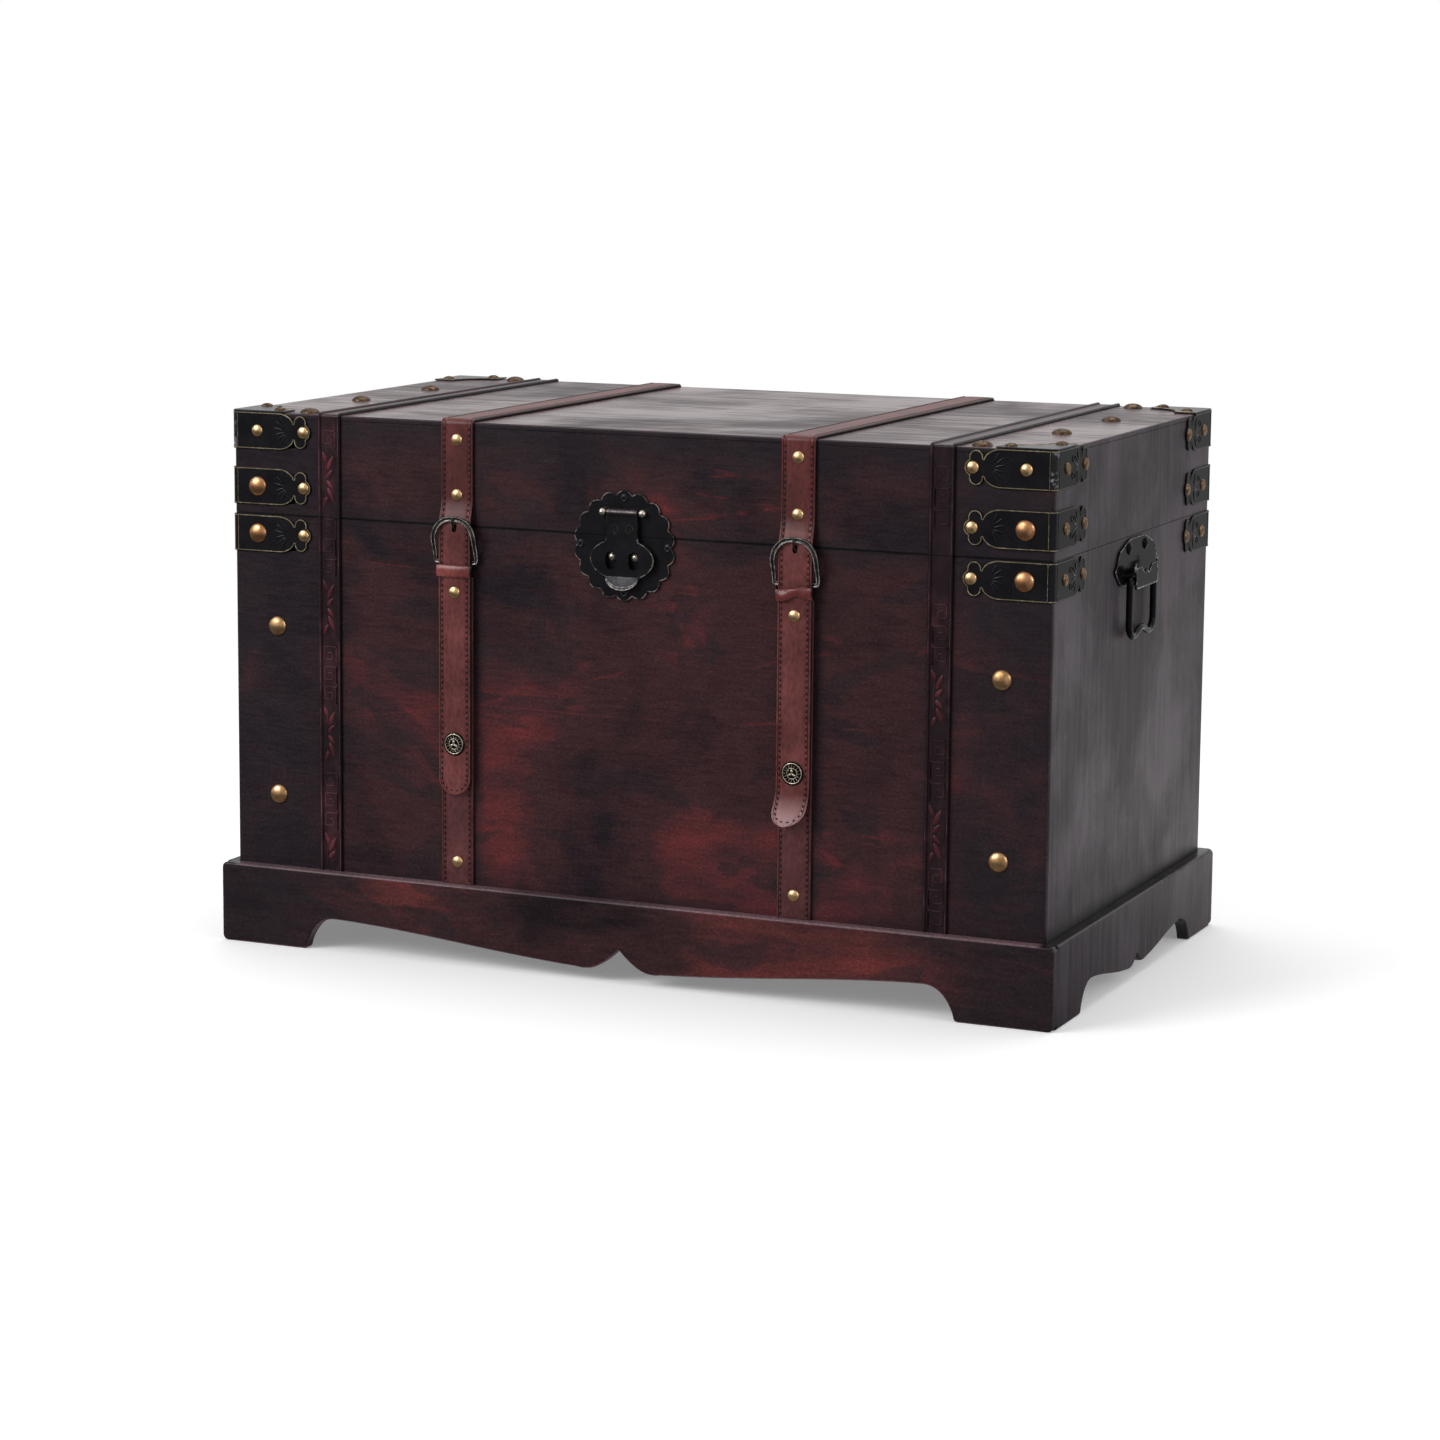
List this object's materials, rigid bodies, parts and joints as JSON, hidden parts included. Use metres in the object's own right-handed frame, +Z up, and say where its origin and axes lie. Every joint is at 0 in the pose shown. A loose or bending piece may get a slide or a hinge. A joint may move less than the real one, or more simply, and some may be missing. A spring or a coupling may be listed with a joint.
{
  "type": "wooden storage chest",
  "caption": "Wooden storage chest with a hinged lid, scalloped plinth feet, metal corner brackets, leather straps with buckles, a round hasp and bail side handles.",
  "frame": {"origin": "on the floor under the middle of the plinth", "axes": "+X towards the chest's right end as seen from the front, front faces -Y, +Z up"},
  "size_m": [0.6602, 0.38, 0.4034],
  "materials": {
    "wood_oxblood": "satin mottled oxblood stain",
    "wood_dark": "satin dark stain with worn edges",
    "embossed_trim": "embossed, dark ground with red-brown raised pattern",
    "leather_oxblood": "semi-gloss, stitched edges",
    "black_metal": "black lacquer with rubbed brass edges",
    "dark_nickel": "antique dark nickel",
    "antique_silver": "antique silver-brass",
    "copper_brass": "antique copper-brass dome nails"
  },
  "bodies": {
    "case": {"case_front_panel": "wood_oxblood", "case_back_panel": "wood_oxblood", "case_left_panel": "wood_oxblood", "case_right_panel": "wood_oxblood", "case_bottom_board": "wood_oxblood", "plinth_front": "wood_dark", "plinth_back": "wood_dark", "plinth_left": "wood_dark", "plinth_right": "wood_dark", "case_trim_left": "embossed_trim", "case_trim_right": "embossed_trim", "case_strap_left": "leather_oxblood", "case_strap_right": "leather_oxblood", "hasp_plate_lower": "black_metal", "handle_plate_left": "black_metal", "handle_plate_right": "black_metal", "handle_clip_left": "black_metal", "handle_clip_right": "black_metal", "case_hinge_leaf_left": "black_metal", "case_hinge_leaf_right": "black_metal", "case_bracket_front_left": "black_metal", "case_bracket_front_right": "black_metal", "case_bracket_back_left": "black_metal", "case_bracket_back_right": "black_metal", "front_nail_left_lower": "copper_brass", "front_nail_left_upper": "copper_brass", "front_nail_right_lower": "copper_brass", "front_nail_right_upper": "copper_brass"},
    "lid": {"lid_front_board": "wood_oxblood", "lid_back_board": "wood_oxblood", "lid_left_board": "wood_oxblood", "lid_right_board": "wood_oxblood", "lid_top_board": "wood_oxblood", "lid_trim_left": "embossed_trim", "lid_trim_right": "embossed_trim", "lid_strap_left": "leather_oxblood", "lid_strap_right": "leather_oxblood", "hasp_plate_upper": "black_metal", "lid_hinge_leaf_left": "black_metal", "lid_hinge_leaf_right": "black_metal", "lid_cap_front_left": "black_metal", "lid_cap_front_right": "black_metal", "lid_cap_back_left": "black_metal", "lid_cap_back_right": "black_metal", "lid_bracket_front_left": "black_metal", "lid_bracket_front_right": "black_metal", "lid_bracket_back_left": "black_metal", "lid_bracket_back_right": "black_metal", "hasp_pin": "dark_nickel"},
    "hasp_flap": {"hasp_flap": "black_metal"},
    "left_handle": {"handle_bail_left": "black_metal"},
    "right_handle": {"handle_bail_right": "black_metal"},
    "left_strap_tail": {"strap_tail_left": "leather_oxblood", "buckle_left": "dark_nickel", "keeper_left": "leather_oxblood", "concho_left": "antique_silver"},
    "right_strap_tail": {"strap_tail_right": "leather_oxblood", "buckle_right": "dark_nickel", "keeper_right": "leather_oxblood", "concho_right": "antique_silver"}
  },
  "joints": [
    {"name": "lid_hinge", "type": "hinge", "parent": "case", "child": "lid", "pos_m": [0, 0.1836, 0.3245], "axis": [-1, 0, 0], "range_deg": [0, 100]},
    {"name": "hasp_flap_hinge", "type": "hinge", "parent": "lid", "child": "hasp_flap", "pos_m": [0, -0.18515, 0.3415], "axis": [-1, 0, 0], "range_deg": [0, 165]},
    {"name": "left_handle_hinge", "type": "hinge", "parent": "case", "child": "left_handle", "pos_m": [-0.3263, 0, 0.2935], "axis": [0, 1, 0], "range_deg": [0, 100]},
    {"name": "right_handle_hinge", "type": "hinge", "parent": "case", "child": "right_handle", "pos_m": [0.3263, 0, 0.2935], "axis": [0, -1, 0], "range_deg": [0, 100]},
    {"name": "left_strap_tail_flex", "type": "hinge", "parent": "lid", "child": "left_strap_tail", "pos_m": [-0.1335, -0.183, 0.3365], "axis": [-1, 0, 0], "range_deg": [0, 90]},
    {"name": "right_strap_tail_flex", "type": "hinge", "parent": "lid", "child": "right_strap_tail", "pos_m": [0.1335, -0.183, 0.3365], "axis": [-1, 0, 0], "range_deg": [0, 90]}
  ]
}
